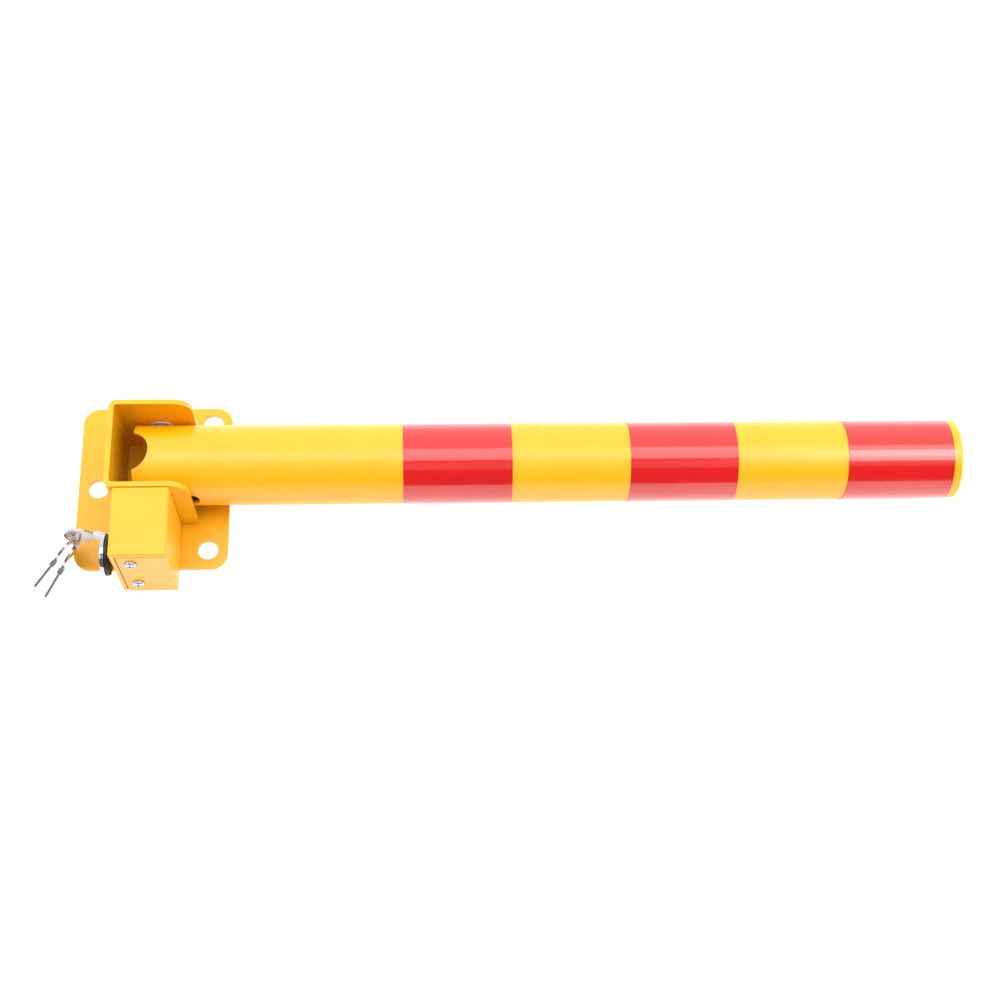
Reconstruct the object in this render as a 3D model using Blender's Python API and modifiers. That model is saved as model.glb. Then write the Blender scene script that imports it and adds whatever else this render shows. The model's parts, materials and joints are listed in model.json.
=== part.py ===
"""Folding parking post with an integral key lock.

A steel tube folds flat along +X out of a U-shaped bracket that is welded on a
base plate. The lock box on the bracket's -Y ear drives a bolt into the tube
when the post stands up. Millimetre values below are turned into metres by MM.

Frame: origin at the centre of the base plate's underside, +X along the folded
post, +Y away from the lock box, +Z up.
"""

import math

import bmesh
import bpy
from mathutils import Matrix, Vector

MM = 0.001

# Base plate
PLATE_X, PLATE_Y, PLATE_T = 120.0, 140.0, 4.0
PLATE_CORNER = 13.0
ANCHOR_R = 8.0
ANCHORS = ((-44.5, -1.0), (44.5, 56.5), (44.5, -54.5))
WELD_GAP = 0.3

# Post
AXIS_Y = 4.0
TUBE_R, TUBE_WALL = 31.5, 2.5
TUBE_Z = 36.5
TUBE_X0, TUBE_X1 = -8.4, 639.0
NOTCH_R, NOTCH_X = 16.0, -12.4
PIVOT_X, PIVOT_Z = 9.2, 38.5
LOCK_HOLE_R = 6.5
LOCK_ARM, LOCK_RISE = 25.6, 1.0
BAND_WIDTH, BAND_T, BAND_GAP = 84.8, 0.3, 0.2
BAND_STARTS = (198.9, 376.2, 548.7)
CAP_T, CAP_DOME, CAP_PLUG = 2.2, 1.2, 16.0

# U bracket
SHEET_T = 4.0
WEB_X = -26.0
EAR_X = 36.1
EAR_GAP = 32.5
EAR_CORNER = 15.0
BEND_R = 6.0
BRACKET_TOP = 79.5

# Pivot bolt (M12)
PIVOT_R, PIVOT_CLEAR = 6.0, 0.2
HEX_AF, HEAD_H, NUT_H = 18.0, 7.5, 10.0
SLEEVE_R, SLEEVE_HALF = 9.0, 31.4
SHIM_R, SHIM_T = 10.6, 0.4
WASHER_R, WASHER_T = 12.0, 2.5

# Lock box
BOX_X0, BOX_X1 = -19.3, 23.3
BOX_Y0 = -88.3
BOX_TOP = 79.4
BOX_WALL = 4.0
BOX_EDGE = 1.8
COVER_GAP = 0.4
SCREW_X, SCREW_ZS = -4.9, (22.0, 62.0)
SCREW_R, SCREW_HEAD_R, SCREW_HEAD_H = 2.4, 4.6, 2.6

# Lock cylinder, its axis runs along X
LOCK_Y, LOCK_Z = -56.6, 42.0
FLANGE_R, FLANGE_T = 16.5, 2.8
BARREL_R, BARREL_END = 11.0, 0.0
PLUG_R = 6.5
CRANK_R, CRANK_T = 7.07, 2.5
CRANK_PIN_R = 2.0
BOLT_R, BOLT_LENGTH, BOLT_TRAVEL = 5.75, 41.2, 10.0
BOLT_TIP_CHAMFER = 1.3
FORK_T, FORK_W, FORK_SLOT = 3.8, 12.0, 5.0
GUIDE_R, GUIDE_LENGTH = 9.0, 12.0

# Dust cover, hung beside the keyway on a rivet
COVER_R, COVER_T, SEAL_T = 16.3, 3.4, 2.1
DUST_Y, DUST_Z = -75.6, 49.3
RIVET_Y, RIVET_Z = -63.6, 52.2
RIVET_R = 1.9

# Keys
KEY_T = 1.9
BOW_LENGTH, BOW_HALF = 23.0, 11.6
BOW_HOLE, BOW_HOLE_R = 4.1, 2.9
NECK_HALF, NECK_END = 4.0, 28.5
COLLAR_START, COLLAR_T = 24.0, 4.0
BLADE_HALF, KEY_LENGTH = 3.4, 52.0
KEY_CUTS = (1.0, 1.7, 0.8, 1.5, 1.1)
GROOVE_Y, GROOVE_HALF, GROOVE_DEPTH = -0.9, 0.65, 0.4
KEY_BOW_X = -60.0
RING_R, RING_WIRE = 9.3, 1.0
RING_HEADING = math.radians(-51.0)
SPARE_LEAN = (-0.15, 0.3, -0.95)
SPARE_KEYS = (
    # name, angle round the ring from its lowest point, heading, slope down
    ("spare_key_1", -24.0, 225.1, 26.3),
    ("spare_key_2", 12.0, 234.1, 26.0),
)

# Derived places
EAR_FRONT_OUT = AXIS_Y - EAR_GAP - SHEET_T
EAR_REAR_OUT = AXIS_Y + EAR_GAP + SHEET_T
BOLT_X, BOLT_Z = PIVOT_X - LOCK_RISE, PIVOT_Z + LOCK_ARM
HOLE_X, HOLE_Z = PIVOT_X + LOCK_ARM, PIVOT_Z + LOCK_RISE
BOLT_TIP_Y = EAR_FRONT_OUT + SHEET_T - WELD_GAP
FLANGE_X = BOX_X0 - WELD_GAP - FLANGE_T
FLOOR_Z = PLATE_T + WELD_GAP
BOX_BACK = EAR_FRONT_OUT - WELD_GAP

STEPS_BIG, STEPS, STEPS_SMALL = 64, 32, 20

PARTS = bpy.data.collections.new("folding_parking_post")
CUTTERS = bpy.data.collections.new("cutters")


def clear_scene():
    for obj in list(bpy.data.objects):
        bpy.data.objects.remove(obj, do_unlink=True)
    for collection in (PARTS, CUTTERS):
        bpy.context.scene.collection.children.link(collection)


def make_material(name, color, metallic, roughness):
    material = bpy.data.materials.new(name)
    material.use_nodes = True
    shader = material.node_tree.nodes["Principled BSDF"]
    shader.inputs["Base Color"].default_value = (*color, 1.0)
    shader.inputs["Metallic"].default_value = metallic
    shader.inputs["Roughness"].default_value = roughness
    return material


FINISHES = {
    "powder_yellow": ((0.95, 0.62, 0.07), 0.0, 0.35),
    "plastic_yellow": ((0.96, 0.66, 0.08), 0.0, 0.3),
    "tape_red": ((0.75, 0.02, 0.02), 0.0, 0.15),
    "zinc": ((0.75, 0.76, 0.78), 1.0, 0.3),
    "chrome": ((0.85, 0.86, 0.88), 1.0, 0.08),
    "steel": ((0.6, 0.6, 0.62), 1.0, 0.35),
    "rubber_black": ((0.02, 0.02, 0.025), 0.0, 0.6),
    "nickel": ((0.7, 0.68, 0.64), 1.0, 0.2),
    "nylon": ((0.9, 0.89, 0.85), 0.0, 0.45),
}


def add(name, mesh, finish=None):
    """Link a mesh as a part, or as a hidden cutter when it has no finish."""
    obj = bpy.data.objects.new(name, mesh)
    if finish is None:
        CUTTERS.objects.link(obj)
        obj.hide_render = True
        obj.display_type = "WIRE"
    else:
        PARTS.objects.link(obj)
        mesh.materials.append(make_material(name, *FINISHES[finish]))
    return obj


def mesh_from(bm, name):
    mesh = bpy.data.meshes.new(name)
    bm.to_mesh(mesh)
    bm.free()
    return mesh


def along(axis):
    """Rotation that turns local +Z onto the named axis."""
    turns = {"X": (0, 90, 0), "Y": (-90, 0, 0), "Z": (0, 0, 0)}
    return tuple(math.radians(angle) for angle in turns[axis])


def box(name, low, high, finish=None):
    """Block between two corners, with its origin at its centre."""
    low, high = Vector(low) * MM, Vector(high) * MM
    bm = bmesh.new()
    bmesh.ops.create_cube(bm, size=1.0)
    bmesh.ops.scale(bm, vec=high - low, verts=bm.verts)
    obj = add(name, mesh_from(bm, name), finish)
    obj.location = (low + high) / 2
    return obj


def turned(name, profile, axis, place, steps, finish=None, closed=False):
    """Solid of revolution: (radius, height) points run down the outer side."""
    mesh = bpy.data.meshes.new(name)
    points = [(radius * MM, 0, height * MM) for radius, height in profile]
    edges = [(i, i + 1) for i in range(len(points) - 1)]
    if closed:
        edges.append((len(points) - 1, 0))
    mesh.from_pydata(points, edges, [])
    obj = add(name, mesh, finish)
    obj.location = Vector(place) * MM
    obj.rotation_euler = along(axis)
    screw = obj.modifiers.new("turn", "SCREW")
    screw.steps = steps
    screw.render_steps = steps
    screw.use_merge_vertices = True
    screw.merge_threshold = 0.00001
    screw.use_smooth_shade = True
    return obj


def rod(name, radius, start, end, axis, place, steps, finish=None):
    """Plain cylinder from start to end along an axis through place."""
    profile = [(0, end), (radius, end), (radius, start), (0, start)]
    return turned(name, profile, axis, place, steps, finish)


def pipe(name, inner, outer, start, end, axis, place, steps, finish=None):
    """Hollow cylinder from start to end along an axis through place."""
    profile = [(outer, end), (outer, start), (inner, start), (inner, end)]
    return turned(name, profile, axis, place, steps, finish, closed=True)


def hexagon(name, across_flats, start, end, axis, place, finish=None):
    """Six-sided prism with two corners on the +-Z sides."""
    bm = bmesh.new()
    radius = across_flats / 2 / math.cos(math.pi / 6) * MM
    bmesh.ops.create_cone(bm, cap_ends=True, segments=6, radius1=radius,
                          radius2=radius, depth=(end - start) * MM)
    bmesh.ops.translate(bm, vec=(0, 0, (start + end) / 2 * MM), verts=bm.verts)
    spin = 0 if axis == "Y" else 90
    bmesh.ops.rotate(bm, matrix=Matrix.Rotation(math.radians(spin), 3, "Z"), verts=bm.verts)
    obj = add(name, mesh_from(bm, name), finish)
    obj.location = Vector(place) * MM
    obj.rotation_euler = along(axis)
    return obj


def flat(name, outlines, thickness, matrix, finish=None):
    """Plate cut to closed outlines, centred on the local XY plane.

    The first outline is the rim and the others are holes.
    """
    curve = bpy.data.curves.new(name + "_outline", "CURVE")
    curve.dimensions = "2D"
    curve.fill_mode = "BOTH"
    curve.extrude = thickness / 2 * MM
    for outline in outlines:
        spline = curve.splines.new("POLY")
        spline.points.add(len(outline) - 1)
        for point, (x, y) in zip(spline.points, outline):
            point.co = (x * MM, y * MM, 0, 1)
        spline.use_cyclic_u = True
    drawn = bpy.data.objects.new(name + "_outline", curve)
    CUTTERS.objects.link(drawn)
    drawn.matrix_world = matrix
    bpy.context.view_layer.update()
    depsgraph = bpy.context.evaluated_depsgraph_get()
    mesh = bpy.data.meshes.new_from_object(drawn.evaluated_get(depsgraph))
    bm = bmesh.new()
    bm.from_mesh(mesh)
    bmesh.ops.remove_doubles(bm, verts=bm.verts, dist=0.000005)
    bmesh.ops.recalc_face_normals(bm, faces=bm.faces)
    bm.to_mesh(mesh)
    bm.free()
    mesh.materials.clear()
    obj = add(name, mesh, finish)
    obj.matrix_world = drawn.matrix_world
    bpy.data.objects.remove(drawn)
    bpy.data.curves.remove(curve)
    return obj


def arc(centre, radius, start, end, steps):
    """Points of an arc between two angles in degrees."""
    points = []
    for i in range(steps + 1):
        angle = math.radians(start + (end - start) * i / steps)
        points.append((centre[0] + radius * math.cos(angle),
                       centre[1] + radius * math.sin(angle)))
    return points


def circle(centre, radius, steps):
    return arc(centre, radius, 0, 360, steps)[:-1]


def boolean(obj, other, operation):
    modifier = obj.modifiers.new(operation.lower(), "BOOLEAN")
    modifier.operation = operation
    modifier.solver = "EXACT"
    modifier.object = other


def cut(obj, *cutters):
    for cutter in cutters:
        boolean(obj, cutter, "DIFFERENCE")


def unite(obj, *others):
    for other in others:
        boolean(obj, other, "UNION")


def soften(obj, width, segments=2):
    bevel = obj.modifiers.new("edges", "BEVEL")
    bevel.width = width * MM
    bevel.segments = segments
    bevel.limit_method = "ANGLE"
    bevel.angle_limit = math.radians(50)


def hang(empty_name, place, pieces, parent=None):
    """Parent pieces to an empty on their joint's axis."""
    empty = bpy.data.objects.new(empty_name, None)
    PARTS.objects.link(empty)
    empty.empty_display_size = 0.01
    empty.location = Vector(place) * MM
    if parent is not None:
        empty.parent = parent
        empty.matrix_parent_inverse = parent.matrix_world.inverted()
    bpy.context.view_layer.update()
    for piece in pieces:
        piece.parent = empty
        piece.matrix_parent_inverse = empty.matrix_world.inverted()
    return empty


def rounded_rectangle(half_x, half_y, radius, steps):
    points = []
    corners = ((1, 1, 0), (-1, 1, 90), (-1, -1, 180), (1, -1, 270))
    for side_x, side_y, start in corners:
        centre = (side_x * (half_x - radius), side_y * (half_y - radius))
        points += arc(centre, radius, start, start + 90, steps)
    return points


def base_plate():
    rim = rounded_rectangle(PLATE_X / 2, PLATE_Y / 2, PLATE_CORNER, 8)
    holes = [circle(anchor, ANCHOR_R, STEPS) for anchor in ANCHORS]
    place = Matrix.Translation((0, 0, PLATE_T / 2 * MM))
    flat("base_plate", [rim] + holes, PLATE_T, place, "powder_yellow")


def u_bracket():
    """Sheet bent to a U, open towards +X, with rounded upper ear corners."""
    inner = BEND_R - SHEET_T
    rear, front = AXIS_Y + EAR_GAP, AXIS_Y - EAR_GAP
    bend_x = WEB_X + BEND_R
    outline = [(EAR_X, EAR_REAR_OUT)]
    outline += arc((bend_x, EAR_REAR_OUT - BEND_R), BEND_R, 90, 180, 6)
    outline += arc((bend_x, EAR_FRONT_OUT + BEND_R), BEND_R, 180, 270, 6)
    outline += [(EAR_X, EAR_FRONT_OUT), (EAR_X, front)]
    outline += arc((bend_x, front + inner), inner, 270, 180, 3)
    outline += arc((bend_x, rear - inner), inner, 180, 90, 3)
    outline += [(EAR_X, rear)]
    height = BRACKET_TOP - FLOOR_Z
    middle = Matrix.Translation((0, 0, (FLOOR_Z + BRACKET_TOP) / 2 * MM))
    bracket = flat("u_bracket", [outline], height, middle, "powder_yellow")

    low, high = FLOOR_Z - 5, BRACKET_TOP
    side = [(WEB_X - 5, low), (EAR_X, low)]
    side += arc((EAR_X - EAR_CORNER, high - EAR_CORNER), EAR_CORNER, 0, 90, 8)
    side += [(WEB_X - 5, high)]
    upright = Matrix.Rotation(math.radians(90), 4, "X")
    stand = Matrix.Translation((0, AXIS_Y * MM, 0)) @ upright
    profile = flat("ear_profile", [side], 120, stand)
    boolean(bracket, profile, "INTERSECT")

    pivot = rod("ear_pivot_hole", PIVOT_R + PIVOT_CLEAR, -60, 60, "Y",
                (PIVOT_X, AXIS_Y, PIVOT_Z), STEPS)
    bolt = rod("ear_bolt_hole", BOLT_R + 0.35, -10, 10, "Y",
               (BOLT_X, EAR_FRONT_OUT, BOLT_Z), STEPS)
    cut(bracket, pivot, bolt)


def post_tube():
    """Post with a hole-sawn foot, a pivot sleeve hole and a lock hole."""
    place = (0, AXIS_Y, TUBE_Z)
    tube = pipe("post_tube", TUBE_R - TUBE_WALL, TUBE_R, TUBE_X0, TUBE_X1, "X",
                place, STEPS_BIG, "powder_yellow")
    notch = rod("foot_notch", NOTCH_R, 0, 90, "Z", (NOTCH_X, AXIS_Y, 0), STEPS)
    sleeve = rod("sleeve_hole", SLEEVE_R + 0.3, -40, 40, "Y",
                 (PIVOT_X, AXIS_Y, PIVOT_Z), STEPS)
    lock = rod("lock_hole", LOCK_HOLE_R, -40, 0, "Y",
               (HOLE_X, AXIS_Y, HOLE_Z), STEPS)
    cut(tube, notch, sleeve, lock)
    return tube


def red_bands():
    bands = []
    inner = TUBE_R + BAND_GAP
    for number, start in enumerate(BAND_STARTS, 1):
        bands.append(pipe("red_band_%d" % number, inner, inner + BAND_T, start,
                          start + BAND_WIDTH, "X", (0, AXIS_Y, TUBE_Z),
                          STEPS_BIG, "tape_red"))
    return bands


def end_cap():
    """Plastic cap: a low dome with a rim, and a hollow plug inside the tube."""
    bore = TUBE_R - TUBE_WALL
    plug_r = bore - 0.3
    rim = TUBE_R - 0.2
    face = TUBE_X1 + WELD_GAP
    profile = [(0, face + CAP_T + CAP_DOME)]
    dome_steps = 4
    for i in range(1, dome_steps + 1):
        share = i / dome_steps
        height = face + CAP_T + CAP_DOME * math.cos(share * math.pi / 2)
        profile.append(((rim - 1.2) * share, height))
    profile += [(rim - 0.4, face + CAP_T - 0.4), (rim, face + CAP_T - 1.2)]
    profile += [(rim, face), (plug_r, face), (plug_r, face - CAP_PLUG)]
    profile += [(plug_r - 2, face - CAP_PLUG), (plug_r - 2, face), (0, face)]
    return turned("end_cap", profile, "X", (0, AXIS_Y, TUBE_Z), STEPS_BIG,
                  "plastic_yellow")


def pivot_hardware():
    """M12 bolt through both ears, with a washer and nut behind the rear ear."""
    axis = (PIVOT_X, AXIS_Y, PIVOT_Z)
    gap = WELD_GAP
    front = EAR_FRONT_OUT - AXIS_Y - gap
    rear = EAR_REAR_OUT - AXIS_Y + gap
    nut_start = rear + WASHER_T + gap
    bolt = hexagon("pivot_bolt", HEX_AF, front - HEAD_H, front, "Y", axis, "zinc")
    shank = rod("pivot_shank", PIVOT_R, front - 1, nut_start + NUT_H + 2.5, "Y",
                axis, STEPS_SMALL)
    unite(bolt, shank)
    pipe("pivot_washer", PIVOT_R + 0.4, WASHER_R, rear, rear + WASHER_T, "Y",
         axis, STEPS, "zinc")
    nut = hexagon("pivot_nut", HEX_AF, nut_start, nut_start + NUT_H, "Y", axis, "zinc")
    cut(nut, rod("pivot_nut_bore", PIVOT_R + 0.2, 0, 80, "Y", axis, STEPS_SMALL))
    for name, side in (("pivot_shim_front", -1), ("pivot_shim_rear", 1)):
        ends = sorted((side * (EAR_GAP - gap), side * (EAR_GAP - gap - SHIM_T)))
        pipe(name, PIVOT_R + 0.4, SHIM_R, ends[0], ends[1], "Y", axis, STEPS, "nylon")


def pivot_sleeve():
    return pipe("pivot_sleeve", PIVOT_R + 0.25, SLEEVE_R, -SLEEVE_HALF, SLEEVE_HALF,
                "Y", (PIVOT_X, AXIS_Y, PIVOT_Z), STEPS, "steel")


def lock_box():
    """Welded box, open at the front for its cover and shut by the ear behind."""
    low = (BOX_X0, BOX_Y0, FLOOR_Z)
    high = (BOX_X1, BOX_BACK, BOX_TOP)
    body = box("lock_box", low, high, "powder_yellow")
    soften(body, BOX_EDGE, 3)
    wall = BOX_WALL
    cavity = box("box_cavity", (BOX_X0 + wall, BOX_Y0 - 5, FLOOR_Z + wall),
                 (BOX_X1 - wall, BOX_BACK + 5, BOX_TOP - wall))
    recess = box("cover_recess", (BOX_X0 + wall, BOX_Y0 - 5, FLOOR_Z - 5),
                 (BOX_X1 + 5, BOX_Y0 + wall, BOX_TOP - wall))
    hole = rod("lock_wall_hole", BARREL_R + 0.3, -10, 10, "X",
               (BOX_X0, LOCK_Y, LOCK_Z), STEPS)
    cut(body, cavity, recess, hole)


def lock_cover():
    """Front cover let into the box, with a lip inside the right wall."""
    wall = BOX_WALL
    low = (BOX_X0 + wall + COVER_GAP, BOX_Y0, FLOOR_Z)
    high = (BOX_X1, BOX_Y0 + wall - WELD_GAP, BOX_TOP - wall - COVER_GAP)
    cover = box("lock_cover", low, high, "powder_yellow")
    soften(cover, 0.9)
    lip = box("cover_lip", (BOX_X1 - wall - 3.4, BOX_Y0 + 2, FLOOR_Z + 14),
              (BOX_X1 - wall - 0.4, BOX_Y0 + wall + 6, BOX_TOP - 14))
    unite(cover, lip)
    bar = box("cover_bar", (BOX_X0 + wall + WELD_GAP, BOX_Y0 + wall, FLOOR_Z + 8),
              (SCREW_X + 6, BOX_Y0 + wall + 7, BOX_TOP - 8), "steel")
    for z in SCREW_ZS:
        place = (SCREW_X, BOX_Y0, z)
        hole = rod("cover_screw_hole", SCREW_R + 0.3, -5, 30, "Y", place, STEPS_SMALL)
        cut(cover, hole)
        cut(bar, hole)


def cover_screws():
    """Pan-head screws with a cross recess that hold the cover to its bar."""
    head = WELD_GAP + SCREW_HEAD_H
    steps = 5
    for name, z in zip(("cover_screw_lower", "cover_screw_upper"), SCREW_ZS):
        profile = [(0, -head)]
        for i in range(1, steps + 1):
            angle = math.pi / 2 * i / steps
            height = -WELD_GAP - SCREW_HEAD_H * math.cos(angle) ** 0.7
            profile.append((SCREW_HEAD_R * math.sin(angle), height))
        profile += [(SCREW_R, -WELD_GAP), (SCREW_R, 10), (0, 10)]
        profile.reverse()
        place = (SCREW_X, BOX_Y0, z)
        screw = turned(name, profile, "Y", place, STEPS_SMALL, "zinc")
        front = BOX_Y0 - head
        for reach_x, reach_z in ((2.5, 0.45), (0.45, 2.5)):
            low = (SCREW_X - reach_x, front - 2, z - reach_z)
            high = (SCREW_X + reach_x, front + 1.3, z + reach_z)
            cut(screw, box("cross_recess", low, high))


def lock_body():
    """Lock barrel with a round flange outside the box and a nut inside it."""
    place = (0, LOCK_Y, LOCK_Z)
    face = FLANGE_X
    back = BOX_X0 - WELD_GAP
    bore = PLUG_R + 0.3
    profile = [(BARREL_R, BARREL_END), (BARREL_R, back), (FLANGE_R, back),
               (FLANGE_R, face + 0.8), (FLANGE_R - 0.8, face), (bore, face),
               (bore, BARREL_END)]
    body = turned("lock_body", profile, "X", place, STEPS, "zinc", closed=True)
    rivet = rod("rivet_hole", RIVET_R + 0.3, face - 5, back + 0.1, "X",
                (0, RIVET_Y, RIVET_Z), STEPS_SMALL)
    cut(body, rivet)
    start = BOX_X0 + BOX_WALL + WELD_GAP
    nut = hexagon("lock_nut", 28.0, start, start + 4, "X", place, "zinc")
    cut(nut, rod("lock_nut_bore", BARREL_R + 0.3, -40, 20, "X", place, STEPS))


def lock_plug():
    """Turning plug with its keyway, a drive crank and the screw that holds it."""
    place = (0, LOCK_Y, LOCK_Z)
    face = FLANGE_X - 0.2
    tail_r, tail_end = 3.0, BARREL_END + 0.8 + CRANK_T
    profile = [(0, tail_end), (tail_r, tail_end), (tail_r, BARREL_END + 0.4),
               (PLUG_R, BARREL_END + 0.4), (PLUG_R, face + 0.5),
               (PLUG_R - 0.5, face), (0, face)]
    plug = turned("lock_plug", profile, "X", place, STEPS, "zinc")
    keyway_end = KEY_BOW_X + KEY_LENGTH + 1.0
    keyway = box("keyway", (face - 5, LOCK_Y - KEY_T / 2 - 0.3, LOCK_Z - BLADE_HALF - 0.3),
                 (keyway_end, LOCK_Y + KEY_T / 2 + 0.3, LOCK_Z + BLADE_HALF + 0.3))
    tail_bore = rod("cam_screw_hole", 1.8, BARREL_END - 1, tail_end + 5, "X", place, STEPS_SMALL)
    cut(plug, keyway, tail_bore)

    swing = CRANK_R * math.sin(math.radians(45))
    pin_place = (0, LOCK_Y - swing, LOCK_Z + swing)
    start = BARREL_END + 0.8
    boss = 6.0
    arm = circle((0, 0), boss, STEPS_SMALL)
    eye = circle((0, 0), tail_r + 0.2, STEPS_SMALL)
    stand = Matrix.Translation(Vector((start + CRANK_T / 2, LOCK_Y, LOCK_Z)) * MM)
    turn = Matrix.Rotation(math.radians(90), 4, "Y")
    cam = flat("lock_cam", [arm, eye], CRANK_T, stand @ turn, "steel")
    pad = rod("crank_pad", 3.6, start, start + CRANK_T, "X", pin_place, STEPS_SMALL)
    pin = rod("crank_pin", CRANK_PIN_R, start, BOLT_X + 3, "X", pin_place, STEPS_SMALL)
    unite(cam, pad, pin)
    cut(cam, rod("cam_eye", tail_r + 0.2, start - 2, start + CRANK_T + 0.6, "X",
                 place, STEPS_SMALL))
    head = tail_end + WELD_GAP
    screw = [(0, head + 1.9), (3.2, head + 1.9), (3.8, head + 1.3), (3.8, head),
             (1.5, head), (1.5, BARREL_END - 0.5), (0, BARREL_END - 0.5)]
    screw = turned("cam_screw", screw, "X", place, STEPS_SMALL, "zinc")
    return [plug, cam, screw]


def lock_bolt():
    """Round bolt with a fork under it, which the crank pin drives."""
    tip, chamfer = BOLT_TIP_Y, BOLT_TIP_CHAMFER
    tail = tip - BOLT_LENGTH
    place = (BOLT_X, 0, BOLT_Z)
    profile = [(0, tip), (BOLT_R - chamfer, tip), (BOLT_R - 0.35, tip - chamfer * 0.45),
               (BOLT_R, tip - chamfer), (BOLT_R, tail + 0.6), (BOLT_R - 0.6, tail), (0, tail)]
    bolt = turned("lock_bolt", profile, "Y", place, STEPS, "chrome")
    swing = CRANK_R * math.sin(math.radians(45))
    middle = LOCK_Y - swing
    foot = LOCK_Z + swing - CRANK_PIN_R - 0.2
    fork = box("bolt_fork", (BOLT_X - FORK_T / 2, middle - FORK_W / 2, foot),
               (BOLT_X + FORK_T / 2, middle + FORK_W / 2, BOLT_Z - 2))
    slot_top = LOCK_Z + CRANK_R + CRANK_PIN_R + 1.3
    slot = box("fork_slot", (BOLT_X - 9, middle - FORK_SLOT / 2, foot - 3),
               (BOLT_X + 9, middle + FORK_SLOT / 2, slot_top))
    unite(bolt, fork)
    cut(bolt, slot)
    end = EAR_FRONT_OUT - WELD_GAP
    pipe("bolt_guide", BOLT_R + 0.35, GUIDE_R, end - GUIDE_LENGTH, end, "Y", place,
         STEPS, "steel")
    return bolt


def dust_cover():
    """Chrome disc with a black seal, turning on a rivet in the flange."""
    place = (0, DUST_Y, DUST_Z)
    seal_back = FLANGE_X - WELD_GAP
    seal_face = seal_back - SEAL_T
    back = seal_face - WELD_GAP
    face = back - COVER_T
    disc = [(0, back), (COVER_R, back), (COVER_R, face + 1.0), (COVER_R - 0.35, face + 0.35),
            (COVER_R - 1.2, face), (0, face)]
    cover = turned("dust_cover", disc, "X", place, STEPS, "chrome")
    seal = rod("dust_cover_seal", COVER_R - 0.5, seal_face, seal_back, "X", place,
               STEPS, "rubber_black")
    hole = rod("cover_rivet_hole", RIVET_R + 0.3, face - 5, seal_back + 1, "X",
               (0, RIVET_Y, RIVET_Z), STEPS_SMALL)
    cut(cover, hole)
    cut(seal, hole)
    head = face - WELD_GAP
    rivet = [(0, FLANGE_X + FLANGE_T - 0.4), (RIVET_R, FLANGE_X + FLANGE_T - 0.4),
             (RIVET_R, head), (3.4, head), (3.0, head - 0.8), (1.8, head - 1.3),
             (0, head - 1.5)]
    turned("cover_rivet", rivet, "X", (0, RIVET_Y, RIVET_Z), STEPS_SMALL, "zinc")
    return [cover, seal]


def key_outlines():
    """Key rim and ring hole, measured from the ring hole towards the tip."""
    start = -BOW_HOLE
    centre = start + BOW_LENGTH / 2
    half = BOW_LENGTH / 2
    neck_angle = math.degrees(math.asin(NECK_HALF / BOW_HALF))
    rim = []
    steps = 22
    for i in range(steps + 1):
        angle = math.radians(neck_angle + (360 - 2 * neck_angle) * i / steps)
        rim.append((centre + half * math.cos(angle), BOW_HALF * math.sin(angle)))
    neck = start + NECK_END
    tip = start + KEY_LENGTH
    rim += [(neck, -NECK_HALF), (neck, -BLADE_HALF)]
    rim += [(tip - 2.5, -BLADE_HALF), (tip, -0.8), (tip, 0.6), (tip - 2.0, BLADE_HALF - 0.6)]
    first, pitch = neck + 5.0, 3.6
    for i, depth in reversed(list(enumerate(KEY_CUTS))):
        middle = first + pitch * i
        rim += [(middle + 1.4, BLADE_HALF - 0.3), (middle + 0.5, BLADE_HALF - depth)]
        rim += [(middle - 0.5, BLADE_HALF - depth), (middle - 1.4, BLADE_HALF - 0.3)]
    rim += [(neck + 1.5, BLADE_HALF), (neck, BLADE_HALF), (neck, NECK_HALF)]
    return [rim, circle((0, 0), BOW_HOLE_R, STEPS_SMALL)]


def key_matrix(place, direction, upward):
    """Frame with X along the key, Y across its width and its hole at place."""
    x = direction.normalized()
    z = x.cross(upward).normalized()
    y = z.cross(x)
    matrix = Matrix((x, y, z)).transposed().to_4x4()
    matrix.translation = place * MM
    return matrix


def make_key(name, matrix):
    """Flat key with a thick collar and a milled groove on both sides of its blade."""
    key = flat(name, key_outlines(), KEY_T, matrix, "nickel")
    bow = -BOW_HOLE
    collar = [(bow + COLLAR_START, -NECK_HALF), (bow + NECK_END, -NECK_HALF),
              (bow + NECK_END, NECK_HALF), (bow + COLLAR_START, NECK_HALF)]
    unite(key, flat(name + "_collar", [collar], COLLAR_T, matrix))
    low, high = GROOVE_Y - GROOVE_HALF, GROOVE_Y + GROOVE_HALF
    start, end = bow + NECK_END + 1.0, bow + KEY_LENGTH + 5.0
    groove = [(start, low), (end, low), (end, high), (start, high)]
    for side in (-1, 1):
        offset = side * (KEY_T - GROOVE_DEPTH) * MM
        place = matrix @ Matrix.Translation((0, 0, offset))
        cut(key, flat(name + "_groove", [groove], KEY_T, place))
    return key


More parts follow.
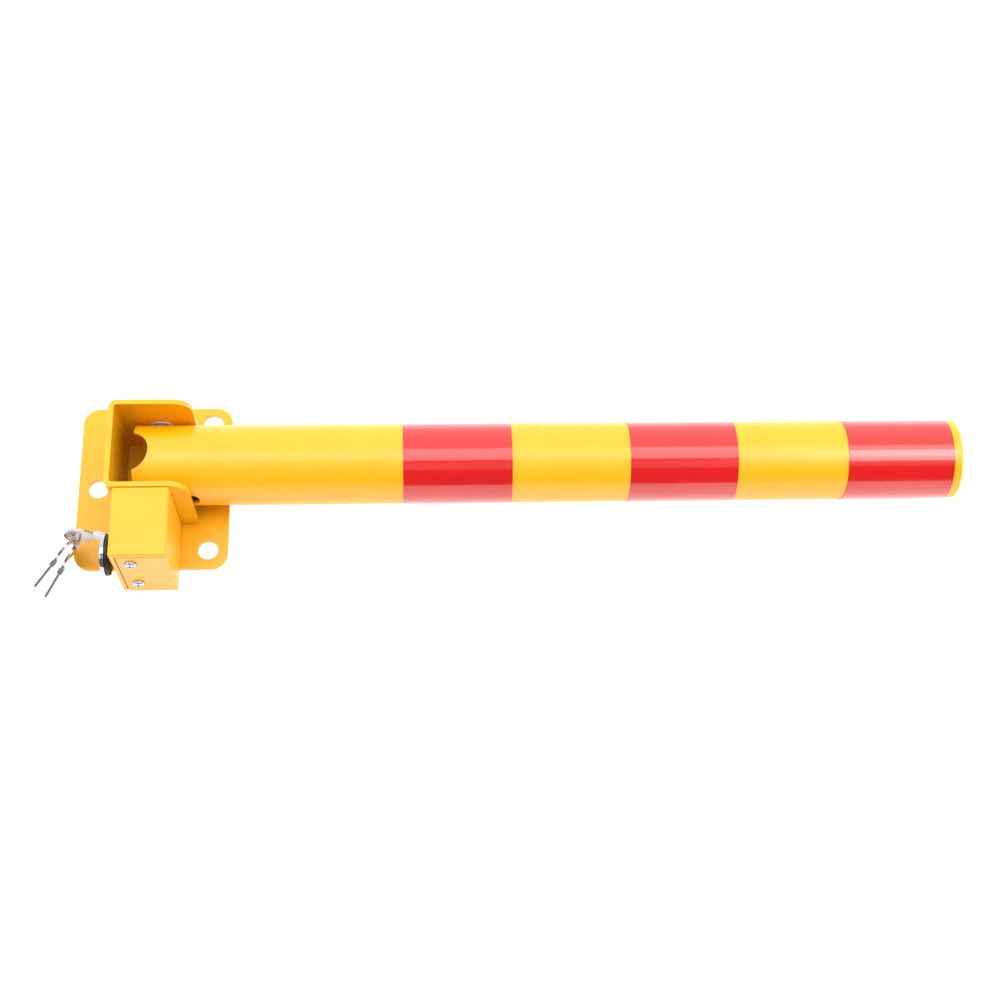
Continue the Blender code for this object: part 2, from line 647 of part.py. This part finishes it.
def keys():
    """Key in the lock, split ring on its bow, and two spare keys on the ring."""
    up = Vector((0, 0, 1))
    hole = Vector((KEY_BOW_X + BOW_HOLE, LOCK_Y, LOCK_Z))
    matrix = key_matrix(hole, Vector((1, 0, 0)), up)
    key = make_key("key", matrix)

    centre = hole - RING_R * up
    heading = Vector((math.cos(RING_HEADING), math.sin(RING_HEADING), 0))
    wire = circle((0, 0), RING_R, 40)
    curve = bpy.data.curves.new("key_ring", "CURVE")
    curve.dimensions = "3D"
    curve.bevel_depth = RING_WIRE * MM
    curve.bevel_resolution = 2
    spline = curve.splines.new("POLY")
    spline.points.add(len(wire) - 1)
    for point, (across, height) in zip(spline.points, wire):
        place = (across * heading + height * up) * MM
        point.co = (*place, 1)
    spline.use_cyclic_u = True
    ring = bpy.data.objects.new("key_ring", curve)
    curve.materials.append(make_material("key_ring", *FINISHES["nickel"]))
    PARTS.objects.link(ring)
    ring.location = centre * MM
    bpy.context.view_layer.update()

    spares = []
    for name, round_ring, key_heading, slope in SPARE_KEYS:
        angle = math.radians(round_ring)
        place = centre + RING_R * (math.sin(angle) * heading - math.cos(angle) * up)
        turn, down = math.radians(key_heading), math.radians(slope)
        direction = Vector((math.cos(turn) * math.cos(down),
                            math.sin(turn) * math.cos(down), -math.sin(down)))
        spare = make_key(name, key_matrix(place, direction, Vector(SPARE_LEAN)))
        spares.append((name, spare, place))
    return key, ring, hole, spares


def main():
    clear_scene()
    base_plate()
    u_bracket()
    pivot_hardware()
    lock_box()
    lock_cover()
    cover_screws()
    lock_body()
    post = [post_tube(), pivot_sleeve(), end_cap()] + red_bands()
    plug = lock_plug()
    bolt = lock_bolt()
    cover = dust_cover()
    key, ring, hole, spares = keys()
    bpy.context.view_layer.update()

    hang("post_pivot", (PIVOT_X, AXIS_Y, PIVOT_Z), post)
    hang("bolt_axis", (BOLT_X, BOLT_TIP_Y, BOLT_Z), [bolt])
    hang("cover_pivot", (FLANGE_X, RIVET_Y, RIVET_Z), cover)
    turn = hang("key_axis", (FLANGE_X, LOCK_Y, LOCK_Z), plug)
    slide = hang("key_slide", (FLANGE_X, LOCK_Y, LOCK_Z), [key], turn)
    swing = hang("ring_pivot", hole, [ring], slide)
    for name, spare, place in spares:
        hang(name + "_pivot", place, [spare], swing)


main()
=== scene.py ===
"""Looks of the folding parking post: finished meshes, materials, light and camera.

Every visible piece is a refined copy of its CAD node, with rolled edges and
smooth round faces, or a finer piece built in its place. Lengths are in metres.
"""

import json
import math

import bmesh
import bpy
from mathutils import Matrix, Vector

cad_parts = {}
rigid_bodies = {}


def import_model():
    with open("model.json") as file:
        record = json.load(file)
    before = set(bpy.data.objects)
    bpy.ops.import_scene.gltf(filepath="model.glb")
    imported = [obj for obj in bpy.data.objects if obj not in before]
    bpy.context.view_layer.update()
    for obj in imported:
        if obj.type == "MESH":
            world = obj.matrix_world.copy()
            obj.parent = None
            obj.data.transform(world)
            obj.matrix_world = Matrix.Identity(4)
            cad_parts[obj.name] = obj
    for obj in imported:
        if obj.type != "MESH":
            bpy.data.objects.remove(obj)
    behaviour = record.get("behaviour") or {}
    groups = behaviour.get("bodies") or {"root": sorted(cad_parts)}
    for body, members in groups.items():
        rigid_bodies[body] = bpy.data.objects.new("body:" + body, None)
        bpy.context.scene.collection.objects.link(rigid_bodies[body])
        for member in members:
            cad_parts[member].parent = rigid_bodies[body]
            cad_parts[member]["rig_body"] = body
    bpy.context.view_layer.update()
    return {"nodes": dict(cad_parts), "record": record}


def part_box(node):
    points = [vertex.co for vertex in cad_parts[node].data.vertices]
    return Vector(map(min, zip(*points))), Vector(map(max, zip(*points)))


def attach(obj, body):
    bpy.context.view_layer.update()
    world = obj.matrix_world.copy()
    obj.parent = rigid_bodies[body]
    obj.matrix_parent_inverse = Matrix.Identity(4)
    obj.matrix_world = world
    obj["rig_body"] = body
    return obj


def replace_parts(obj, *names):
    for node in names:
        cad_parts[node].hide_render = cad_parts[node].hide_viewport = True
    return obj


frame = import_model()

WELD_GAP = 0.0003
MERGE_GAP = 0.000002
LEVEL_TOLERANCE = 0.00002
FLAT_ANGLE = math.radians(0.6)
SHARP_ANGLE = math.radians(32)
ROLL_ANGLE = math.radians(40)
LARGE_FACE_WEIGHT = 60


# ---------------------------------------------------------------- materials

def rgb(r, g, b):
    """Linear colour from 0-255 display values."""
    def linear(value):
        value /= 255
        return value / 12.92 if value <= 0.04045 else ((value + 0.055) / 1.055) ** 2.4
    return (linear(r), linear(g), linear(b), 1.0)


class Nodes:
    """Short names for building one material's node tree."""

    def __init__(self, name):
        self.material = bpy.data.materials.new(name)
        self.material.use_nodes = True
        self.tree = self.material.node_tree
        self.shader = self.tree.nodes["Principled BSDF"]
        self.place = self.new("ShaderNodeTexCoord").outputs["Object"]

    def new(self, kind, **settings):
        node = self.tree.nodes.new(kind)
        for key, value in settings.items():
            setattr(node, key, value)
        return node

    def link(self, output, target):
        self.tree.links.new(output, target)

    def set(self, **values):
        for key, value in values.items():
            self.shader.inputs[key.replace("_", " ")].default_value = value

    def noise(self, scale, detail=2.0, roughness=0.5, stretch=None):
        node = self.new("ShaderNodeTexNoise")
        node.inputs["Scale"].default_value = scale
        node.inputs["Detail"].default_value = detail
        node.inputs["Roughness"].default_value = roughness
        source = self.place
        if stretch is not None:
            mapping = self.new("ShaderNodeMapping")
            mapping.inputs["Scale"].default_value = stretch
            self.link(source, mapping.inputs["Vector"])
            source = mapping.outputs["Vector"]
        self.link(source, node.inputs["Vector"])
        return node.outputs["Fac"]

    def ramp(self, value, low, high, first, last):
        """Fade from one colour to another as a 0-1 field crosses two levels."""
        node = self.new("ShaderNodeValToRGB")
        node.color_ramp.elements[0].position = low
        node.color_ramp.elements[1].position = high
        node.color_ramp.elements[0].color = first
        node.color_ramp.elements[1].color = last
        self.link(value, node.inputs["Fac"])
        return node.outputs["Color"]

    def span(self, value, low, high, out_low, out_high):
        """Map a field from one range of numbers to another, clamped."""
        node = self.new("ShaderNodeMapRange")
        node.inputs["From Min"].default_value = low
        node.inputs["From Max"].default_value = high
        node.inputs["To Min"].default_value = out_low
        node.inputs["To Max"].default_value = out_high
        self.link(value, node.inputs["Value"])
        return node.outputs["Result"]

    def math(self, operation, first, second):
        node = self.new("ShaderNodeMath", operation=operation)
        for socket, value in zip(node.inputs, (first, second)):
            if isinstance(value, (int, float)):
                socket.default_value = value
            else:
                self.link(value, socket)
        return node.outputs[0]

    def mix(self, factor, first, second):
        node = self.new("ShaderNodeMix", data_type="RGBA")
        for socket, value in ((0, factor), (6, first), (7, second)):
            if isinstance(value, (int, float, tuple)):
                node.inputs[socket].default_value = value
            else:
                self.link(value, node.inputs[socket])
        return node.outputs[2]

    def bump(self, *layers):
        """Stack (height, depth in metres) layers into the shader's normal."""
        normal = None
        for height, depth in layers:
            node = self.new("ShaderNodeBump")
            node.inputs["Strength"].default_value = 1.0
            node.inputs["Distance"].default_value = depth
            self.link(height, node.inputs["Height"])
            if normal is not None:
                self.link(normal, node.inputs["Normal"])
            normal = node.outputs["Normal"]
        self.link(normal, self.shader.inputs["Normal"])

    def colour(self, output):
        self.link(output, self.shader.inputs["Base Color"])

    def roughness(self, output):
        self.link(output, self.shader.inputs["Roughness"])


def powder_coat():
    """Satin yellow powder coat: faint orange peel, cloudiness and fine specks."""
    m = Nodes("powder_coat")
    clouds = m.noise(28, 3)
    base = m.ramp(clouds, 0.3, 0.7, rgb(246, 178, 6), rgb(248, 184, 14))
    specks = m.noise(640, 1, 0.4)
    base = m.mix(m.span(specks, 0.5, 0.75, 0, 0.12), base, rgb(240, 170, 4))
    gloss = m.noise(45, 3, 0.6)
    m.colour(m.mix(m.span(gloss, 0.55, 0.75, 0.0, 0.15), base, rgb(250, 194, 36)))
    m.roughness(m.span(gloss, 0.3, 0.7, 0.27, 0.36))
    m.bump((m.noise(330, 1, 0.4), 0.000006))
    m.set(Metallic=0.0, IOR=1.6)
    return m.material


def cap_plastic():
    """Moulded yellow plastic with a fine matt grain and faint flow marks."""
    m = Nodes("cap_plastic")
    flow = m.noise(60, 4, 0.6, stretch=(0.4, 1, 1))
    m.colour(m.ramp(flow, 0.3, 0.7, rgb(255, 220, 108), rgb(255, 227, 128)))
    m.roughness(m.span(m.noise(220, 3), 0.3, 0.7, 0.3, 0.42))
    m.bump((m.noise(2600, 1), 0.00001), (flow, 0.00003))
    m.set(Metallic=0.0, IOR=1.46)
    return m.material


def red_tape():
    """Red reflective tape: a bead-filled honeycomb under a glossy clear film."""
    m = Nodes("red_tape")
    beads = m.new("ShaderNodeTexVoronoi", feature="F1")
    beads.inputs["Scale"].default_value = 1300
    m.link(m.place, beads.inputs["Vector"])
    tone = m.ramp(beads.outputs["Distance"], 0.05, 0.62, rgb(226, 10, 8), rgb(212, 6, 6))
    cells = m.new("ShaderNodeTexVoronoi", feature="DISTANCE_TO_EDGE")
    cells.inputs["Scale"].default_value = 300
    m.link(m.place, cells.inputs["Vector"])
    edge = m.span(cells.outputs["Distance"], 0.0, 0.06, 0.3, 0.0)
    tone = m.mix(edge, tone, rgb(196, 4, 6))
    drift = m.noise(14, 2)
    m.colour(m.mix(m.span(drift, 0.35, 0.7, 0.0, 0.3), tone, rgb(234, 14, 12)))
    m.roughness(m.span(m.noise(90, 4, 0.65), 0.3, 0.7, 0.18, 0.26))
    wrinkle = m.noise(26, 2, 0.5, stretch=(0.25, 1.0, 1.0))
    m.bump((wrinkle, 0.00016), (m.noise(700, 1), 0.000004))
    m.set(Metallic=0.0, IOR=1.5)
    m.set(Coat_Weight=1.0, Coat_Roughness=0.05, Coat_IOR=1.5)
    return m.material


def metal(name, bright, dark, rough_low, rough_high, grain, grain_stretch, depth, tint=None):
    """Metal with a grain in colour, gloss and bump, and a tint where it clouds."""
    m = Nodes(name)
    clouds = m.noise(grain * 0.12, 4, 0.6)
    lines = m.noise(grain, 3, 0.6, stretch=grain_stretch)
    base = m.ramp(lines, 0.3, 0.7, dark, bright)
    if tint is not None:
        base = m.mix(m.span(clouds, 0.45, 0.7, 0.0, 0.3), base, tint)
    m.colour(base)
    both = m.math("ADD", m.math("MULTIPLY", lines, 0.6), m.math("MULTIPLY", clouds, 0.4))
    m.roughness(m.span(both, 0.3, 0.7, rough_low, rough_high))
    m.bump((lines, depth))
    m.set(Metallic=1.0)
    return m.material


def white_nylon():
    """Natural nylon: off-white, with a waxy gloss."""
    m = Nodes("white_nylon")
    grain = m.noise(500, 3)
    m.colour(m.ramp(grain, 0.3, 0.7, rgb(238, 233, 220), rgb(248, 244, 234)))
    m.roughness(m.span(grain, 0.3, 0.7, 0.38, 0.5))
    m.bump((grain, 0.00001))
    m.set(Metallic=0.0, IOR=1.53)
    return m.material


def black_rubber():
    """Moulded rubber: dark, matt and finely grained."""
    m = Nodes("black_rubber")
    grain = m.noise(900, 3)
    m.colour(m.ramp(grain, 0.3, 0.7, rgb(26, 18, 17), rgb(42, 30, 28)))
    m.roughness(m.span(grain, 0.3, 0.7, 0.45, 0.62))
    m.bump((grain, 0.00003))
    m.set(Metallic=0.0, IOR=1.52)
    return m.material


MATERIALS = {
    "powder_coat": powder_coat(),
    "cap_plastic": cap_plastic(),
    "red_tape": red_tape(),
    "zinc_plated": metal("zinc_plated", rgb(204, 207, 212), rgb(188, 191, 197), 0.2, 0.34,
                         900, (1, 1, 0.4), 0.000002, rgb(200, 197, 184)),
    "chrome_plated": metal("chrome_plated", rgb(192, 197, 206), rgb(185, 190, 199), 0.05, 0.11,
                           400, (1, 1, 1), 0.0000008),
    "bare_steel": metal("bare_steel", rgb(168, 166, 164), rgb(128, 126, 124), 0.3, 0.46,
                        1200, (1, 0.15, 1), 0.00002, rgb(120, 110, 100)),
    "white_nylon": white_nylon(),
    "black_rubber": black_rubber(),
    "key_nickel": metal("key_nickel", rgb(204, 198, 197), rgb(192, 186, 185), 0.18, 0.28,
                        1000, (0.2, 1, 1), 0.000001, rgb(182, 172, 167)),
}

SLOTS = {entry["node"]: entry["material_slot"] for entry in frame["record"]["subparts"]}


# ---------------------------------------------------------------- meshes

def finish_mesh(bm, name, node):
    """Make a bmesh into a smooth-shaded piece on its node's body."""
    mesh = bpy.data.meshes.new(name)
    bm.to_mesh(mesh)
    bm.free()
    mesh.shade_smooth()
    mesh.set_sharp_from_angle(angle=SHARP_ANGLE)
    obj = bpy.data.objects.new(name, mesh)
    bpy.context.scene.collection.objects.link(obj)
    slot = SLOTS[node]
    mesh.materials.append(MATERIALS[slot])
    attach(obj, frame["nodes"][node]["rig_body"])
    return obj


def welded_copy(node):
    """The CAD node's mesh with shared corners and its flat faces made whole."""
    bm = bmesh.new()
    bm.from_mesh(frame["nodes"][node].data)
    bmesh.ops.remove_doubles(bm, verts=bm.verts, dist=MERGE_GAP)
    bmesh.ops.dissolve_limit(bm, angle_limit=FLAT_ANGLE, verts=bm.verts, edges=bm.edges)
    return bm


def roll_edges(bm, width, segments):
    """Bevel every sharp edge."""
    sharp = [edge for edge in bm.edges
             if len(edge.link_faces) == 2 and edge.calc_face_angle(0) >= ROLL_ANGLE]
    bmesh.ops.bevel(bm, geom=sharp, offset=width, segments=segments, profile=0.5,
                    affect="EDGES", clamp_overlap=True, harden_normals=False)


def stretch_face(bm, axis, level, shift):
    """Move the flat face at one level along its axis, to close a CAD gap."""
    for vert in bm.verts:
        if abs(vert.co[axis] - level) < LEVEL_TOLERANCE:
            vert.co[axis] += shift


def refine(node, width=0.0, segments=2, seams=()):
    """Show a node as a welded copy with rolled edges.

    Seams are (axis, level, shift) moves of the faces that are welded to others.
    A width of zero leaves the edges as they are.
    """
    bm = welded_copy(node)
    for axis, level, shift in seams:
        stretch_face(bm, axis, level, shift)
    if width:
        roll_edges(bm, width, segments)
    obj = finish_mesh(bm, node + "_finish", node)
    normals = obj.modifiers.new("face_weighted", "WEIGHTED_NORMAL")
    normals.keep_sharp = True
    normals.weight = LARGE_FACE_WEIGHT
    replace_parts(obj, node)


HOUSING_ROLLS = (
    # node, width of its rolled edges
    ("lock_cover", 0.0004),
    ("pivot_bolt", 0.0004),
    ("pivot_nut", 0.0004),
    ("pivot_washer", 0.0003),
    ("pivot_shim_front", 0.0),
    ("pivot_shim_rear", 0.0),
    ("lock_body", 0.0002),
    ("lock_nut", 0.0003),
    ("bolt_guide", 0.0003),
    ("cover_bar", 0.0004),
    ("cover_screw_lower", 0.00012),
    ("cover_screw_upper", 0.00012),
    ("cover_rivet", 0.0001),
)
POST_ROLLS = (("post_tube", 0.0004), ("pivot_sleeve", 0.0003), ("end_cap", 0.0003))
LOCK_ROLLS = (
    ("lock_plug", 0.0002),
    ("lock_cam", 0.0003),
    ("cam_screw", 0.0002),
    ("lock_bolt", 0.0002),
    ("dust_cover", 0.0002),
    ("dust_cover_seal", 0.0003),
)


def build_housing():
    refine("base_plate", 0.0006, 3)
    bracket_low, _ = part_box("u_bracket")
    refine("u_bracket", 0.0007, 3, seams=[(2, bracket_low.z, -WELD_GAP)])
    _, box_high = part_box("lock_box")
    refine("lock_box", 0.0004, 2, seams=[(1, box_high.y, WELD_GAP)])
    for node, width in HOUSING_ROLLS:
        refine(node, width)


def build_post():
    for node, width in POST_ROLLS:
        refine(node, width)
    for number in (1, 2, 3):
        refine("red_band_%d" % number)


def build_lock():
    for node, width in LOCK_ROLLS:
        refine(node, width)


RING_HEADING = math.radians(-51)
RING_TURNS, RING_WIRE, RING_PITCH = 1.93, 0.00052, 0.00108
RING_START = math.radians(200)
RING_POINTS = 120
CAP_MERGE_GAP = 0.000005
CAD_RING_WIRE = 0.001
KEY_ROLL = 0.0003


def split_ring():
    """Two close turns of wire, with their ends side by side."""
    low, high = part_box("key_ring")
    centre = (low + high) / 2
    radius = (high.z - low.z) / 2 - CAD_RING_WIRE
    across = Vector((math.cos(RING_HEADING), math.sin(RING_HEADING), 0))
    up = Vector((0, 0, 1))
    normal = across.cross(up)
    curve = bpy.data.curves.new("key_ring_coil", "CURVE")
    curve.dimensions = "3D"
    curve.bevel_depth = RING_WIRE
    curve.bevel_resolution = 3
    curve.use_fill_caps = True
    spline = curve.splines.new("POLY")
    spline.points.add(RING_POINTS - 1)
    for i, point in enumerate(spline.points):
        share = i / (RING_POINTS - 1)
        angle = 2 * math.pi * RING_TURNS * share + RING_START
        drift = RING_PITCH * (RING_TURNS * share - RING_TURNS / 2)
        place = centre + radius * (math.cos(angle) * across + math.sin(angle) * up)
        point.co = (*(place + drift * normal), 1)
    coil = bpy.data.objects.new("key_ring_coil", curve)
    bpy.context.scene.collection.objects.link(coil)
    bpy.context.view_layer.update()
    evaluated = coil.evaluated_get(bpy.context.evaluated_depsgraph_get())
    mesh = bpy.data.meshes.new_from_object(evaluated)
    bpy.data.objects.remove(coil)
    bpy.data.curves.remove(curve)
    bm = bmesh.new()
    bm.from_mesh(mesh)
    bmesh.ops.remove_doubles(bm, verts=bm.verts, dist=CAP_MERGE_GAP)
    bpy.data.meshes.remove(mesh)
    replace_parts(finish_mesh(bm, "key_ring_finish", "key_ring"), "key_ring")


def build_keys():
    for node in ("key", "spare_key_1", "spare_key_2"):
        refine(node, KEY_ROLL, 3)
    split_ring()


build_housing()
build_post()
build_lock()
build_keys()


# ---------------------------------------------------------------- stage

CAMERA_PLACE = (0.19899, -0.51714, 1.1673)
CAMERA_YAW, CAMERA_PITCH, CAMERA_ROLL = 8.8, 66.37, 7.49  # degrees
CAMERA_LENS, CAMERA_SENSOR = 56.485, 36.0  # millimetres
FLOOR_SIZE, FLOOR_DROP = 30.0, 0.0002
ROOM_FRONT, ROOM_BACK = 0.2, 1.35
FADE_START, FADE_END = -0.45, 0.6
LIGHTS = (
    # name, place, the point it faces, width, height, radiance
    ("softbox_top", (0.45, 0.0, 1.5), (0.45, 0.0, 0.0), 2.6, 0.86, 2.2),
    ("softbox_end", (1.14, -0.34, 1.45), (1.14, -0.34, 0.0), 0.45, 0.8, 4.5),
    ("softbox_left", (-1.5, -0.5, 1.3), (0.3, 0.0, 0.0), 1.6, 0.8, 2.9),
    ("softbox_right", (2.3, -1.1, 1.1), (0.3, 0.0, 0.0), 1.0, 0.8, 1.8),
    ("card_front", (0.3, -0.9, 1.42), (0.3, 0.0, 0.0), 2.6, 0.55, 0.5),
)


def place_camera():
    """Camera at the place, turn and lens that were solved for the photographed view."""
    data = bpy.data.cameras.new("photo_view")
    data.lens = CAMERA_LENS
    data.sensor_width = CAMERA_SENSOR
    data.dof.use_dof = False
    camera = bpy.data.objects.new("photo_view", data)
    bpy.context.scene.collection.objects.link(camera)
    yaw = Matrix.Rotation(math.radians(-CAMERA_YAW), 4, "Z")
    pitch = Matrix.Rotation(math.radians(90 - CAMERA_PITCH), 4, "X")
    roll = Matrix.Rotation(math.radians(CAMERA_ROLL), 4, "Z")
    camera.matrix_world = Matrix.Translation(CAMERA_PLACE) @ yaw @ pitch @ roll
    bpy.context.scene.camera = camera


def lay_floor():
    """Pale studio paper that glows a little, so shadows stay faint."""
    bm = bmesh.new()
    bmesh.ops.create_grid(bm, x_segments=1, y_segments=1, size=FLOOR_SIZE / 2)
    mesh = bpy.data.meshes.new("floor")
    bm.to_mesh(mesh)
    bm.free()
    floor = bpy.data.objects.new("floor", mesh)
    floor.location.z = -FLOOR_DROP
    bpy.context.scene.collection.objects.link(floor)
    paper = Nodes("studio_paper")
    paper.set(Base_Color=(0.6, 0.6, 0.6, 1), Roughness=0.95, IOR=1.2)
    paper.set(Emission_Color=(1, 1, 1, 1), Emission_Strength=0.8)
    mesh.materials.append(paper.material)


def area_light(name, place, target, size_x, size_y, radiance):
    """Rectangular softbox that looks equally bright at any size."""
    data = bpy.data.lights.new(name, "AREA")
    data.shape = "RECTANGLE"
    data.size, data.size_y = size_x, size_y
    data.energy = radiance * math.pi * size_x * size_y
    light = bpy.data.objects.new(name, data)
    bpy.context.scene.collection.objects.link(light)
    light.location = place
    aim = Vector(target) - Vector(place)
    light.rotation_euler = aim.to_track_quat("-Z", "Y").to_euler()


def light_stage():
    """White room behind, a dim room in front, four softboxes and a faint front card."""
    world = bpy.data.worlds.new("studio")
    bpy.context.scene.world = world
    world.use_nodes = True
    tree = world.node_tree
    coord = tree.nodes.new("ShaderNodeTexCoord")
    split = tree.nodes.new("ShaderNodeSeparateXYZ")
    tree.links.new(coord.outputs["Generated"], split.inputs["Vector"])
    fade = tree.nodes.new("ShaderNodeMapRange")
    fade.interpolation_type = "SMOOTHSTEP"
    fade.inputs["From Min"].default_value = FADE_START
    fade.inputs["From Max"].default_value = FADE_END
    fade.inputs["To Min"].default_value = ROOM_FRONT
    fade.inputs["To Max"].default_value = ROOM_BACK
    tree.links.new(split.outputs["Y"], fade.inputs["Value"])
    tree.links.new(fade.outputs["Result"], tree.nodes["Background"].inputs["Strength"])
    tree.nodes["Background"].inputs["Color"].default_value = (1, 1, 1, 1)
    for light in LIGHTS:
        area_light(*light)


place_camera()
lay_floor()
light_stage()
bpy.context.scene.view_settings.view_transform = "Standard"
